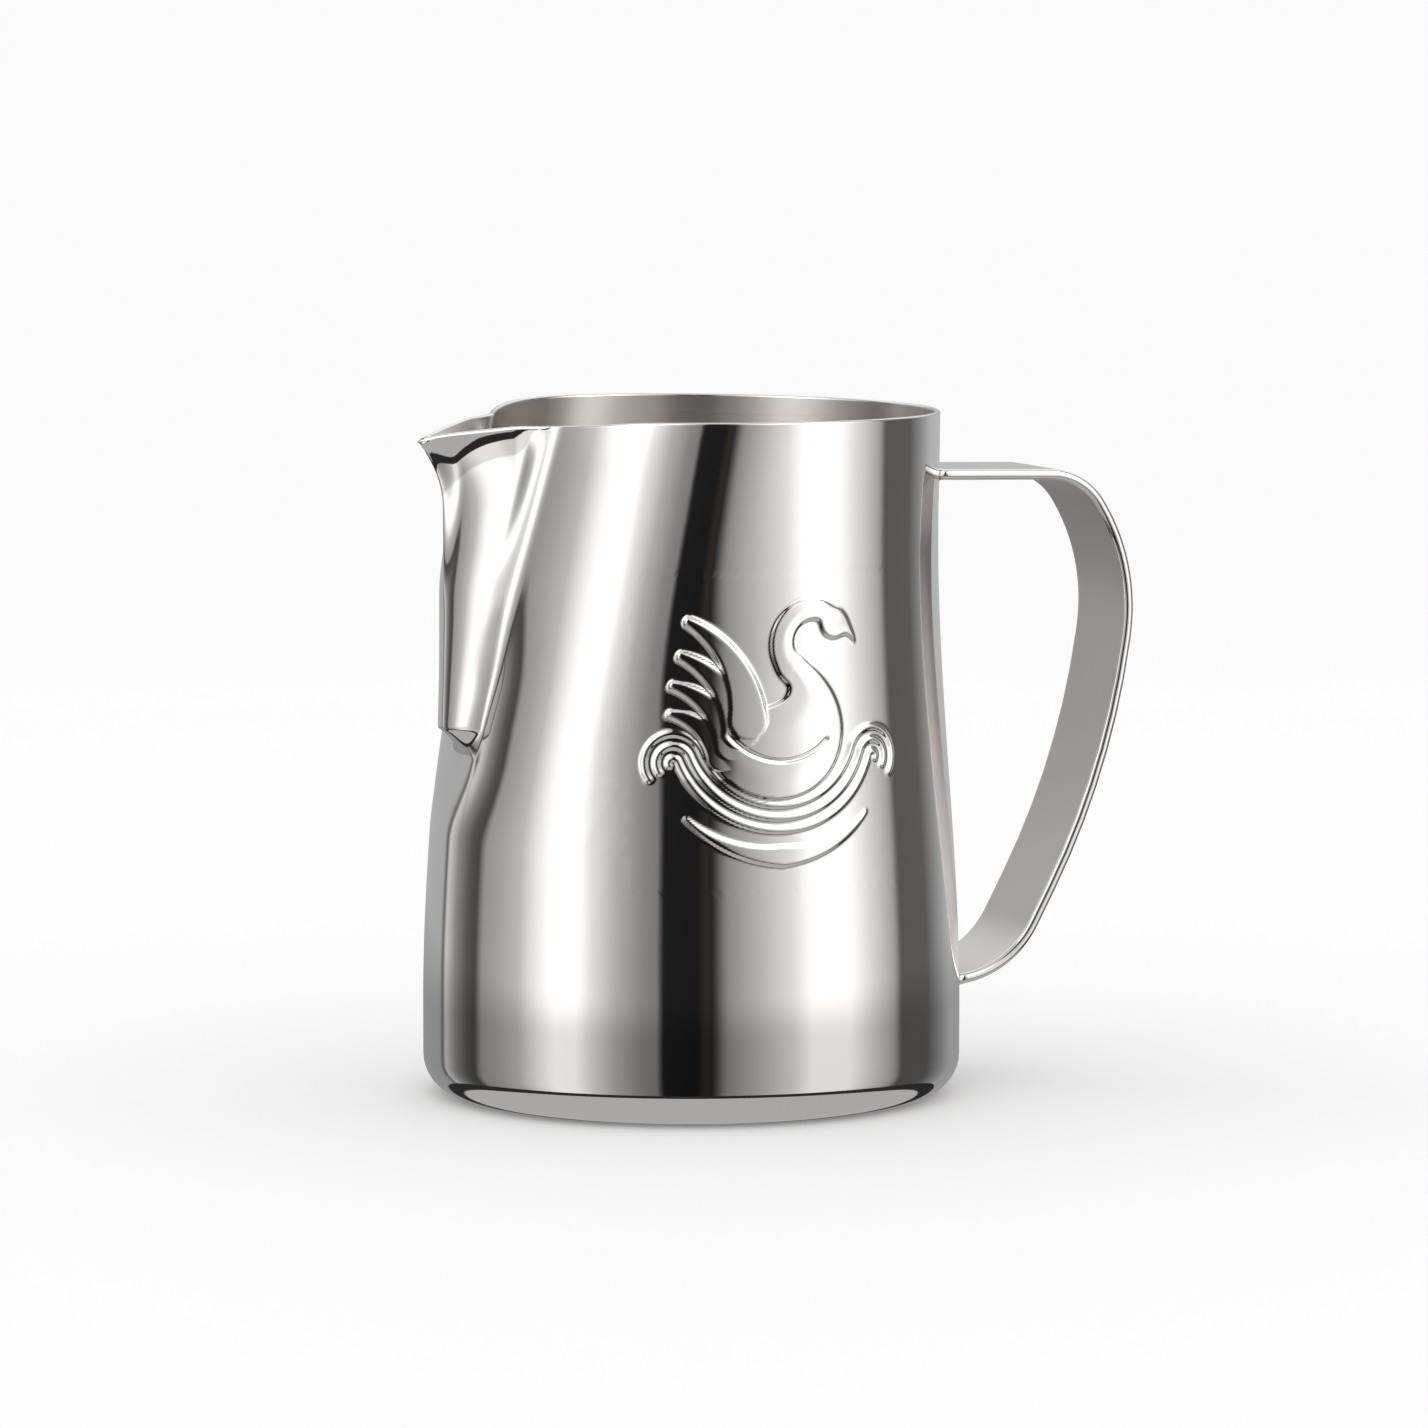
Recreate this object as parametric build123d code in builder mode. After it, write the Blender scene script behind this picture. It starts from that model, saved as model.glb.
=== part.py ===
from build123d import *
import os
from math import asin, atan2, cos, degrees, radians, sin, tan

# Milk frothing pitcher: a drawn steel cup with a pressed pouring spout, and a strap
# handle welded to its wall. Sizes are millimetres. +Z is up, the handle points along
# +X and the spout along -X. The origin is the centre of the flat base's underside.

# The cup
base_diameter = 85.0
waist_diameter = 77.9
rim_diameter = 78.4
body_height = 108.4
waist_height = 88.0
taper_start = 14.0
corner_radius = 6.2
wall = 0.9

# The spout, pressed out of the wall between two creases
pinch_height = 36.0
toe_height = 55.0
toe_rise = 3.5
toe_half_width = 6.2
crease_half_width = 15.4
crease_depth = 7.2
crease_power = 0.65
ridge_reach_toe = 0.8
ridge_reach_top = 2.3
flare_length = 14.4
flare_reach = 7.8
nose_handle_toe = 4.5
nose_handle_rim = 1.2
panel_bow = 12.0
shoulder_angle_toe = 44.0
shoulder_angle_rim = 64.0
flank_turn = 0.75
# How many times sooner than the rim the nose ridge and the flank's turn are complete
ridge_gain = 2.0
flank_gain = 4.0
# Length of the plan curves' handles, as a share of the stretch that each curve spans
shoulder_handle = 0.3
crease_handle = 0.45
panel_handle_toe = 0.4
panel_handle_rim = 0.55
# About how far apart the plan sections are
level_spacing = 10.0

# The rim's drop below body_height, seen from the side
heel_drop = 0.4
rim_shoulder = 19.0
rim_shoulder_drop = 0.1
crease_drop = 1.2
lip_knee = 7.0
lip_knee_drop = 1.9
lip_reach = 6.3
lip_drop = 4.2
lip_heading = (-1, -1)

# The handle, a strap with fully rounded edges. Its bends are rounded corners of a line
# whose corners stand this far out from the rim (or the base) and this far down or up.
handle_width = 19.1
handle_thickness = 1.7
handle_top_drop = 11.0
handle_top_slope = 1.3
knuckle_reach = 24.4
peak_reach = 33.6
peak_drop = 26.5
back_reach = 28.8
back_height = 49.3
heel_reach = 9.0
heel_height = 18.2
foot_slope = 9.5
# How far inside the waist or rim, whichever is narrower, the strap's line starts
root_depth = 6.0
# How far each bend starts from its corner
knuckle_bend = 5.7
peak_bend = 11.2
back_bend = 20.8
heel_bend = 7.9
bend_clearance = 0.2

# The weld fillets, on the loop side of each strap end
weld_leg = 0.9
weld_bite = 0.3
weld_inset = 1.2

rim_margin = 2.0


def ease(share):
    """Smooth step from 0 to 1, flat at both ends."""
    share = min(max(share, 0.0), 1.0)
    return share * share * (3 - 2 * share)


def mix(low, high, share):
    return low + (high - low) * share


def wall_radius(height):
    """Outside radius of the round part of the cup at a height."""
    if height <= waist_height:
        share = ease((height - taper_start) / (waist_height - taper_start))
        return mix(base_diameter, waist_diameter, share) / 2
    share = ease((height - waist_height) / (body_height - waist_height))
    return mix(waist_diameter, rim_diameter, share) / 2


def ridge_radius(height):
    """Distance from the axis to the spout's nose line at a height."""
    rise = min((height - toe_height) / toe_rise, 1.0)
    share = (height - toe_height) / (body_height - toe_height)
    reach = mix(ridge_reach_toe * rise, ridge_reach_top, min(share * ridge_gain, 1.0) * rise)
    flare = max(0.0, (height - body_height + flare_length) / flare_length)
    return wall_radius(height) + reach + flare_reach * flare**2


def crease_point(height):
    """The crease on the +Y side, as its distances towards the spout and sideways."""
    share = (height - toe_height) / (body_height - toe_height)
    across = mix(toe_half_width, crease_half_width, share)
    radius = wall_radius(height) - crease_depth * max(share, 0.0) ** crease_power
    return (radius**2 - across**2) ** 0.5, across


def heading(angle):
    return Vector(cos(radians(angle)), sin(radians(angle)))


def arc_handle(radius, angle):
    """Length of the two handles that make a curve follow an arc of that angle."""
    return radius * tan(radians(angle) / 4) * 4 / 3


def across_axis(point):
    """The same point on the other side of the spout."""
    return Vector(point.X, -point.Y)


def outline(height, inset=0.0):
    """Plan section of the cup at a height, moved inwards by inset, as a face."""
    radius = wall_radius(height) - inset
    share = max(0.0, (height - toe_height) / (body_height - toe_height))
    if height > toe_height:
        along, across = crease_point(height)
        nose = ridge_radius(height)
        crease_angle = degrees(atan2(across, along))
        flank = 180 - crease_angle * mix(1.0, flank_turn, min(1.0, share * flank_gain)) + 90
        panel = 180 + degrees(atan2(across, nose - along)) - panel_bow * (1 - share)
        nose_handle = mix(nose_handle_toe, nose_handle_rim, share)
    else:
        across = toe_half_width
        along = (wall_radius(height) ** 2 - across**2) ** 0.5
        nose = wall_radius(height)
        crease_angle = degrees(atan2(across, along))
        flank = 180 - crease_angle + 90
        panel = flank
        nose_handle = arc_handle(nose - inset, crease_angle)
    shoulder = mix(shoulder_angle_toe, shoulder_angle_rim, share)
    # The crease moves inwards along the bisector of the flank and the panel.
    flank_in = heading(flank + 90)
    panel_in = heading(panel + 90)
    crease = Vector(-along, across) + (flank_in + panel_in) * (inset / (1 + flank_in.dot(panel_in)))
    tip = Vector(inset - nose, 0)
    start = heading(180 - shoulder) * radius
    chord = (crease - start).length
    round_handle = arc_handle(radius, shoulder - crease_angle)
    flank_start = mix(round_handle, chord * shoulder_handle, share)
    flank_end = mix(round_handle, chord * crease_handle, share)
    panel_start = nose_handle
    if height > toe_height:
        panel_start = (tip - crease).length * mix(panel_handle_toe, panel_handle_rim, share)
    flank_points = [
        start,
        start + heading(270 - shoulder) * flank_start,
        crease - heading(flank) * flank_end,
        crease,
    ]
    panel_points = [crease, crease + heading(panel) * panel_start, tip + Vector(0, nose_handle), tip]
    # Plain edges, because a line or sketch context would merge the tangent ones, and the
    # loft needs the same edges at every height.
    edges = [
        CenterArc((0, 0), radius, shoulder - 180, 360 - 2 * shoulder),
        Bezier(*flank_points),
        Bezier(*panel_points),
        Bezier(*[across_axis(point) for point in reversed(panel_points)]),
        Bezier(*[across_axis(point) for point in reversed(flank_points)]),
    ]
    return Plane.XY.offset(height) * Face(Wire(edges))


def levels(*heights):
    """The heights, with the ones between them that keep each stretch near level_spacing."""
    stops = []
    for low, high in zip(heights, heights[1:]):
        count = max(1, round((high - low) / level_spacing))
        stops += [mix(low, high, step / count) for step in range(count)]
    return stops + [heights[-1]]


flare_start = body_height - flare_length
upper_levels = levels(toe_height, toe_height + toe_rise, flare_start,
                      body_height - flare_length / 2, body_height + rim_margin)
lower_levels = levels(taper_start, pinch_height, toe_height)


def cup_solid(inset):
    """Everything inside the cup's outer skin, or inside its inner skin with an inset."""
    lower_sections = [outline(height, inset) for height in lower_levels]
    upper_sections = [outline(height, inset) for height in upper_levels]
    with BuildPart() as solid:
        with BuildSketch(Plane.XZ) as foot:
            with BuildLine():
                floor_line = Line((0, inset), (base_diameter / 2 - corner_radius, inset))
                corner = JernArc(floor_line @ 1, (1, 0), corner_radius - inset, 90)
                side = Line(corner @ 1, (base_diameter / 2 - inset, taper_start))
                Polyline(side @ 1, (0, taper_start), (0, inset))
            make_face()
        revolve(axis=Axis.Z)
        loft(sections=lower_sections)
        loft(sections=upper_sections)
    return solid.part


outer_cup = cup_solid(0.0)
inner_cup = cup_solid(wall)

crease_x = crease_point(body_height)[0]
rim_radius = rim_diameter / 2
base_radius = base_diameter / 2
tip_x = rim_radius + lip_reach
tip_z = body_height - lip_drop

with BuildPart() as body:
    add(outer_cup)
    add(inner_cup, mode=Mode.SUBTRACT)
    # The rim is cut along one gentle curve that falls away to the tip of the spout.
    with BuildSketch(Plane.XZ) as rim_waste:
        with BuildLine():
            back_rim = ThreePointArc(
                (rim_radius + rim_margin, body_height - heel_drop),
                (0, body_height),
                (-rim_shoulder, body_height - rim_shoulder_drop),
            )
            lip_rim = Spline(
                back_rim @ 1,
                (-crease_x, body_height - crease_drop),
                (-crease_x - lip_knee, body_height - lip_knee_drop),
                (-tip_x, tip_z),
                (-tip_x - rim_margin, tip_z - rim_margin),
                tangents=[back_rim % 1, lip_heading],
            )
            Polyline(
                lip_rim @ 1,
                (-tip_x - flare_reach, tip_z - rim_margin),
                (-tip_x - flare_reach, body_height + 2 * rim_margin),
                (rim_radius + rim_margin, body_height + 2 * rim_margin),
                back_rim @ 0,
            )
        make_face()
    extrude(amount=base_diameter, both=True, mode=Mode.SUBTRACT)
body.part.label = "body"

# The strap's middle line runs from inside the wall out, round the back and in again.
root_x = min(waist_diameter, rim_diameter) / 2 - root_depth
top_z = body_height - handle_top_drop
knuckle_x = rim_radius + knuckle_reach
heel_x = base_radius + heel_reach
top_fall = tan(radians(handle_top_slope))
foot_fall = tan(radians(foot_slope))

strap_points = [
    (root_x, top_z + (rim_radius - root_x) * top_fall),
    (knuckle_x, top_z - knuckle_reach * top_fall),
    (rim_radius + peak_reach, body_height - peak_drop),
    (rim_radius + back_reach, back_height),
    (heel_x, heel_height),
    (root_x, heel_height - (heel_x - root_x) * foot_fall),
]


def bend_radii(points, bends):
    """Radius of each bend, from the length of its corner that it rounds off. Two bends
    that a short run would make overlap are both shortened."""
    corners = [Vector(*point) for point in points]
    runs = [after - before for before, after in zip(corners, corners[1:])]
    starts = [0.0, *bends, 0.0]
    radii = []
    for index, bend in enumerate(bends):
        for run, pair in ((runs[index], starts[index:index + 2]),
                          (runs[index + 1], starts[index + 1:index + 3])):
            bend = min(bend, bends[index] * (run.length - bend_clearance) / sum(pair))
        turn = radians(runs[index].get_angle(runs[index + 1]))
        radii.append(bend / tan(turn / 2))
    return radii


with BuildPart() as handle:
    with BuildLine(Plane.XZ) as strap_line:
        bends = [knuckle_bend, peak_bend, back_bend, heel_bend]
        FilletPolyline(*strap_points, radius=bend_radii(strap_points, bends))
    start_plane = Plane(strap_line.line @ 0, x_dir=(0, 1, 0), z_dir=strap_line.line % 0)
    with BuildSketch(start_plane):
        SlotOverall(handle_width, handle_thickness)
    sweep()
    add(outer_cup, mode=Mode.SUBTRACT)
handle.part.label = "handle"


def weld_profile(height, side):
    """Corners of a fillet between the wall and the strap; side is 1 above it, -1 below."""
    radius = wall_radius(height)
    return [
        (radius - weld_bite, height - side * weld_bite),
        (radius + weld_leg, height - side * weld_bite),
        (radius + weld_leg, height),
        (radius, height + side * weld_leg),
        (radius - weld_bite, height + side * weld_leg),
    ]


under_top = top_z - handle_thickness / 2
over_foot = heel_height - heel_reach * foot_fall + handle_thickness / 2 / cos(radians(foot_slope))
welds = []
for name, height, side in (("upper_weld", under_top, -1), ("lower_weld", over_foot, 1)):
    half_turn = degrees(asin((handle_width / 2 - weld_inset) / wall_radius(height)))
    out = heading(-half_turn)
    with BuildPart() as weld:
        with BuildSketch(Plane((0, 0, 0), x_dir=out, z_dir=(out.Y, -out.X, 0))):
            with BuildLine():
                Polyline(*weld_profile(height, side), close=True)
            make_face()
        revolve(axis=Axis.Z, revolution_arc=2 * half_turn)
        add(outer_cup, mode=Mode.SUBTRACT)
        add(handle.part, mode=Mode.SUBTRACT)
    weld.part.label = name
    welds.append(weld)

os.makedirs("parts", exist_ok=True)
for piece in (body, handle, *welds):
    export_step(piece.part, f"parts/{piece.part.label}.step")
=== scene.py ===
import bpy
from math import atan2, cos, degrees, hypot, pi, radians, sin, tan
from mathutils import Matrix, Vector


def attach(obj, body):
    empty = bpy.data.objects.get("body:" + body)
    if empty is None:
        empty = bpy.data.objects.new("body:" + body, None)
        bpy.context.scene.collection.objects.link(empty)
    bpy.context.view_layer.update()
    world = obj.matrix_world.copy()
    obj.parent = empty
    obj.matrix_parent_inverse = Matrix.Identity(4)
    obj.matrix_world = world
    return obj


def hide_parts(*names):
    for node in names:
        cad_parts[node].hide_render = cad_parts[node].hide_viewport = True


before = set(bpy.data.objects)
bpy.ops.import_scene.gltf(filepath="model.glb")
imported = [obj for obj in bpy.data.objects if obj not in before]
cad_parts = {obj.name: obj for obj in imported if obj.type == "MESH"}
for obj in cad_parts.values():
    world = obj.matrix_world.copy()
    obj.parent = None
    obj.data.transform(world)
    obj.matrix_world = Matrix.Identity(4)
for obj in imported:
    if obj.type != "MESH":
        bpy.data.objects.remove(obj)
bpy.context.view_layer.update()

mm = 0.001


def mix(low, high, share):
    return low + (high - low) * share


def clamp(value, low=0.0, high=1.0):
    return min(max(value, low), high)


def ease(share):
    share = clamp(share)
    return share * share * (3 - 2 * share)


def stops(low, high, count):
    # evenly spaced values, without the last one
    return [mix(low, high, step / count) for step in range(count)]


def editMode(obj, pick="VERT"):
    bpy.ops.object.select_all(action="DESELECT")
    obj.select_set(True)
    bpy.context.view_layer.objects.active = obj
    bpy.ops.object.mode_set(mode="EDIT")
    bpy.ops.mesh.select_mode(type=pick)
    bpy.ops.mesh.select_all(action="DESELECT")


def objectMode():
    bpy.ops.object.mode_set(mode="OBJECT")


def selectWhere(obj, kind, test):
    # picks vertices, edges or polygons by a test; the object is left in edit mode
    objectMode()
    for item in getattr(obj.data, kind):
        item.select = test(item)
    bpy.ops.object.mode_set(mode="EDIT")


def applyModifier(obj, name, kind, **settings):
    bpy.context.view_layer.objects.active = obj
    modifier = obj.modifiers.new(name, kind)
    for key, value in settings.items():
        setattr(modifier, key, value)
    bpy.ops.object.modifier_apply(modifier=modifier.name)


def smoothShade(obj):
    bpy.ops.object.select_all(action="DESELECT")
    obj.select_set(True)
    bpy.context.view_layer.objects.active = obj
    bpy.ops.object.shade_smooth()


def shaderOf(material):
    return material.node_tree.nodes["Principled BSDF"]


def nodeMaterial(name, **sockets):
    # a new material with its Principled shader set up
    material = bpy.data.materials.new(name)
    material.use_nodes = True
    for key, value in sockets.items():
        shaderOf(material).inputs[key.replace("_", " ")].default_value = value
    return material


def newGroup(name, inputs, outputs):
    group = bpy.data.node_groups.new(name, "ShaderNodeTree")
    for label, value in inputs.items():
        kind = "NodeSocketVector" if isinstance(value, tuple) else "NodeSocketFloat"
        socket = group.interface.new_socket(label, in_out="INPUT", socket_type=kind)
        socket.default_value = value
    for label in outputs:
        group.interface.new_socket(label, in_out="OUTPUT", socket_type="NodeSocketFloat")
    entry = group.nodes.new("NodeGroupInput")
    leave = group.nodes.new("NodeGroupOutput")
    return group, entry, leave


noiseLow, noiseHigh = 0.3, 0.7  # nearly all of a noise texture's values lie between these


def scaledNoise(group, entry, scaleLabel, detail):
    # noise on Object coordinates, stretched by a vector input of the group
    where = group.nodes.new("ShaderNodeTexCoord")
    stretch = group.nodes.new("ShaderNodeVectorMath")
    stretch.operation = "MULTIPLY"
    noise = group.nodes.new("ShaderNodeTexNoise")
    noise.inputs["Scale"].default_value = 1.0
    noise.inputs["Detail"].default_value = detail
    group.links.new(where.outputs["Object"], stretch.inputs[0])
    group.links.new(entry.outputs[scaleLabel], stretch.inputs[1])
    group.links.new(stretch.outputs[0], noise.inputs["Vector"])
    return noise


def spread(group, source, low, high):
    # carries a 0..1 value to the range between two group inputs
    ranger = group.nodes.new("ShaderNodeMapRange")
    ranger.inputs["From Min"].default_value = noiseLow
    ranger.inputs["From Max"].default_value = noiseHigh
    group.links.new(source, ranger.inputs["Value"])
    group.links.new(low, ranger.inputs["To Min"])
    group.links.new(high, ranger.inputs["To Max"])
    return ranger.outputs["Result"]


def buildGrainGroup():
    # long fine marks, as a belt or a pad leaves them: a roughness and a height
    group, entry, leave = newGroup(
        "brushGrain",
        {"Stretch": (40.0, 40.0, 4000.0), "Low": 0.2, "High": 0.4},
        ["Roughness", "Height"],
    )
    noise = scaledNoise(group, entry, "Stretch", 4.0)
    rough = spread(group, noise.outputs["Fac"], entry.outputs["Low"], entry.outputs["High"])
    group.links.new(rough, leave.inputs["Roughness"])
    group.links.new(noise.outputs["Fac"], leave.inputs["Height"])
    return group


def buildHazeGroup():
    # wide soft patches of handling haze on a polished skin, and the drawn metal's slow waves
    group, entry, leave = newGroup(
        "polishHaze",
        {"Patch": (60.0, 60.0, 40.0), "Wave": (90.0, 90.0, 30.0), "Low": 0.03, "High": 0.07},
        ["Roughness", "Height"],
    )
    patch = scaledNoise(group, entry, "Patch", 5.0)
    wave = scaledNoise(group, entry, "Wave", 1.0)
    rough = spread(group, patch.outputs["Fac"], entry.outputs["Low"], entry.outputs["High"])
    group.links.new(rough, leave.inputs["Roughness"])
    group.links.new(wave.outputs["Fac"], leave.inputs["Height"])
    return group


grainGroup = buildGrainGroup()
hazeGroup = buildHazeGroup()


def placeGroup(material, group, values):
    node = material.node_tree.nodes.new("ShaderNodeGroup")
    node.node_tree = group
    for label, value in values.items():
        node.inputs[label].default_value = value
    return node


def metalFinish(name, group, values, bumpDistance, colour):
    # metal whose roughness and fine relief both come from one of the groups
    material = nodeMaterial(name, Metallic=1.0, Base_Color=(*colour, 1))
    tree = material.node_tree
    effect = placeGroup(material, group, values)
    bump = tree.nodes.new("ShaderNodeBump")
    bump.inputs["Distance"].default_value = bumpDistance
    bump.inputs["Strength"].default_value = 1.0
    tree.links.new(effect.outputs["Roughness"], shaderOf(material).inputs["Roughness"])
    tree.links.new(effect.outputs["Height"], bump.inputs["Height"])
    tree.links.new(bump.outputs["Normal"], shaderOf(material).inputs["Normal"])
    return material


def turnedMetal(material, anisotropy):
    # marks that run round the upright axis draw the light out into upright streaks
    tangent = material.node_tree.nodes.new("ShaderNodeTangent")
    tangent.direction_type = "RADIAL"
    tangent.axis = "Z"
    shader = shaderOf(material)
    shader.inputs["Anisotropic"].default_value = anisotropy
    shader.inputs["Anisotropic Rotation"].default_value = 0.25  # a quarter turn
    material.node_tree.links.new(tangent.outputs["Tangent"], shader.inputs["Tangent"])


mirrorSteel = metalFinish(
    "mirrorSteel", hazeGroup,
    {"Patch": (60.0, 60.0, 40.0), "Wave": (120.0, 120.0, 35.0), "Low": 0.03, "High": 0.075},
    bumpDistance=0.00002, colour=(0.90, 0.885, 0.875),
)
insideSteel = metalFinish(
    "insideSteel", grainGroup,
    {"Stretch": (25.0, 25.0, 5000.0), "Low": 0.26, "High": 0.36},
    bumpDistance=0.000004, colour=(0.76, 0.73, 0.71),
)
turnedMetal(insideSteel, 0.97)
rimSteel = metalFinish(
    "rimSteel", grainGroup,
    {"Stretch": (300.0, 300.0, 3000.0), "Low": 0.12, "High": 0.25},
    bumpDistance=0.000006, colour=(0.82, 0.80, 0.78),
)
strapOuterSteel = metalFinish(
    "strapOuterSteel", grainGroup,
    {"Stretch": (60.0, 3000.0, 60.0), "Low": 0.12, "High": 0.22},
    bumpDistance=0.000005, colour=(0.88, 0.87, 0.87),
)
strapInnerSteel = metalFinish(
    "strapInnerSteel", grainGroup,
    {"Stretch": (80.0, 4000.0, 80.0), "Low": 0.28, "High": 0.42},
    bumpDistance=0.000012, colour=(0.74, 0.70, 0.675),
)
strapEdgeSteel = metalFinish(
    "strapEdgeSteel", hazeGroup,
    {"Patch": (300.0, 300.0, 300.0), "Wave": (200.0, 200.0, 200.0), "Low": 0.06, "High": 0.14},
    bumpDistance=0.00001, colour=(0.90, 0.89, 0.88),
)
weldSteel = metalFinish(
    "weldSteel", grainGroup,
    {"Stretch": (900.0, 900.0, 900.0), "Low": 0.35, "High": 0.6},
    bumpDistance=0.00012, colour=(0.42, 0.38, 0.35),
)
print("finishes ready")


# sizes in millimetres; those of the cup's outline are the CAD body's own
cup = {
    "baseDiameter": 85.0,
    "waistDiameter": 77.9,
    "rimDiameter": 78.4,
    "bodyHeight": 108.4,
    "waistHeight": 88.0,
    "taperStart": 14.0,
    "cornerRadius": 6.2,
    "wall": 0.9,
    "rimRound": 0.36,
    "arcColumns": 48,
    "flankColumns": 30,
    "creaseColumns": 6,
    "panelColumns": 22,
    "footRings": (0.0, 10.0, 20.0, 28.0, 33.0),
    "cornerRows": 10,
    "wallRows": 25,
    "toeRows": 14,
    "toeBelow": 1.0,
    "toeAbove": 5.0,
    "panelRows": 22,
    "flareRows": 13,
    "rimRows": 3,
    "rimZone": 1.2,
    "bevelSteps": 3,
    "mergeGap": 0.005,
}
spout = {
    "toeHeight": 55.0,
    "toeRise": 4.2,
    "creaseAngleToe": 8.9,
    "creaseAngleGrowth": 21.5,
    "creaseRoundToe": 0.5,
    "creaseRound": 1.7,
    "roundGain": 3.0,
    "creaseZone": 45.0,
    "creaseLeanToe": 7.0,
    "creaseLeanRim": -4.0,
    "creaseLeanFrom": 0.2,
    "creaseLeanOver": 0.4,
    "leanStart": 0.11,
    "leanGrowth": 13.2,
    "dentStart": 0.25,
    "flankSteps": 80,
    "rollReach": 1.8,
    "rollHeight": 6.4,
    "rollFadeIn": 0.15,
    "rollFadeOut": 0.33,
    "rollReturn": 3.0,
    "ridgeReachToe": 1.6,
    "ridgeReachTop": 2.4,
    "ridgeGain": 2.0,
    "flareLength": 14.4,
    "flareReach": 7.8,
    "noseHandleToe": 1.8,
    "noseHandleRim": 1.4,
    "creaseHandle": 0.62,
    "panelBow": 25.0,
    "panelFlatten": 14.0,
    "flareSpread": 2.6,
    "shoulderAngleToe": 55.2,
    "shoulderGrowth": 42.2,
    "shoulderSpread": 18.0,
    "spreadGrowth": 22.0,
}
rim = {
    "margin": 2.0,
    "levelRounds": 24,
    "heelDrop": 0.4,
    "shoulder": 19.0,
    "shoulderDrop": 0.1,
    "creaseX": 28.0,
    "creaseDrop": 1.2,
    "kneeReach": 7.0,
    "kneeDrop": 1.9,
    "lipReach": 6.3,
    "lipDrop": 4.2,
}


def wallRadius(height):
    if height <= cup["waistHeight"]:
        share = ease((height - cup["taperStart"]) / (cup["waistHeight"] - cup["taperStart"]))
        return mix(cup["baseDiameter"], cup["waistDiameter"], share) / 2
    share = ease((height - cup["waistHeight"]) / (cup["bodyHeight"] - cup["waistHeight"]))
    return mix(cup["waistDiameter"], cup["rimDiameter"], share) / 2


def spoutShare(height):
    return (height - spout["toeHeight"]) / (cup["bodyHeight"] - spout["toeHeight"])


def noseReach(height):
    rise = min((height - spout["toeHeight"]) / spout["toeRise"], 1.0)
    share = spoutShare(height)
    reach = mix(spout["ridgeReachToe"] * rise, spout["ridgeReachTop"],
                min(share * spout["ridgeGain"], 1.0) * rise)
    return wallRadius(height) + reach


def lipFlare(height, share):
    # how far the top of the spout is turned out, most of it close to the nose
    flare = max(0.0, (height - cup["bodyHeight"] + spout["flareLength"]) / spout["flareLength"])
    return spout["flareReach"] * flare**2 * share ** spout["flareSpread"]


def heading(angle):
    return Vector((cos(radians(angle)), sin(radians(angle))))


def bezier(points, share):
    first, second, third, last = points
    rest = 1 - share
    return (first * rest**3 + second * (3 * rest**2 * share)
            + third * (3 * rest * share**2) + last * share**3)


def softRamp(value, width):
    # nothing below zero, then a straight line after a short rounded start
    if value < width:
        return max(value, 0.0) ** 2 / (2 * width)
    return value - width / 2


def flankLean(share, angle):
    # how far the wall beside the spout leans back from a circle, in degrees
    start = spout["shoulderAngleToe"] + spout["shoulderGrowth"] * share
    width = spout["shoulderSpread"] + spout["spreadGrowth"] * share
    lean = spout["leanGrowth"] * softRamp(share + spout["leanStart"], spout["leanStart"])
    rising = ease((share - spout["creaseLeanFrom"]) / spout["creaseLeanOver"])
    local = mix(spout["creaseLeanToe"], spout["creaseLeanRim"], rising)
    local *= ease((share + spout["dentStart"]) / spout["dentStart"])
    near = ease((spout["creaseZone"] - angle) / (spout["creaseZone"] - spout["creaseAngleToe"]))
    return lean * ease((start - angle) / width) + local * near


def halfPlan(height):
    # the plan of one half of the cup at a height: its radius, the angle where the flank starts,
    # the flank's depths at even angles, and the panel's curve
    radius = wallRadius(height)
    share = spoutShare(height)
    first = spout["shoulderAngleToe"] + spout["shoulderGrowth"] * max(share, -spout["dentStart"])
    last = spout["creaseAngleToe"] + spout["creaseAngleGrowth"] * max(share, 0.0)
    turn = (first - last) / spout["flankSteps"]
    depths = [0.0]
    for step in range(spout["flankSteps"]):
        lean = flankLean(share, first - (step + 0.5) * turn)
        depths.append(depths[-1] + (radius - depths[-1]) * radians(turn) * tan(radians(lean)))
    creaseRadius = radius - depths[-1]
    crease = heading(180 - last) * creaseRadius
    below = creaseRadius - radians(last) / 2 * creaseRadius * tan(radians(flankLean(share, last)))
    rise = clamp((height - spout["toeHeight"]) / spout["toeRise"])
    nose = mix(below, noseReach(max(height, spout["toeHeight"])), rise)
    tip = Vector((-nose, 0.0))
    chord = tip - crease
    # with this handle at both ends the curve follows a circle, as the wall does below the spout
    roundHandle = nose * tan(radians(last) / 4) * 4 / 3
    roundTurn = degrees(atan2(chord.y, chord.x)) % 360
    share = max(share, 0.0)
    bow = mix(last / 2, spout["panelBow"] - spout["panelFlatten"] * share**4, rise)
    creaseHandle = mix(roundHandle, chord.length * spout["creaseHandle"], rise)
    start = crease + heading(roundTurn - bow) * creaseHandle
    noseHandle = mix(roundHandle, mix(spout["noseHandleToe"], spout["noseHandleRim"], share), rise)
    return radius, first, last, depths, [crease, start, tip + Vector((0.0, noseHandle)), tip]


def flankPoint(plan, angle):
    radius, first, last, depths, _ = plan
    place = clamp((first - angle) / (first - last)) * spout["flankSteps"]
    low = min(int(place), spout["flankSteps"] - 1)
    depth = mix(depths[low], depths[low + 1], place - low)
    return heading(180 - angle) * (radius - depth)


def stations():
    # the columns of one half, from the back of the cup to the nose of the spout
    half = [("arc", share) for share in stops(0.0, 1.0, cup["arcColumns"])]
    half += [("flank", share) for share in stops(0.0, 1.0, cup["flankColumns"])]
    half += [("crease", share) for share in stops(0.0, 1.0, cup["creaseColumns"])]
    half += [("panel", share) for share in stops(0.0, 1.0, cup["panelColumns"])]
    return half + [("panel", 1.0)]


planCache = {}


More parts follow.
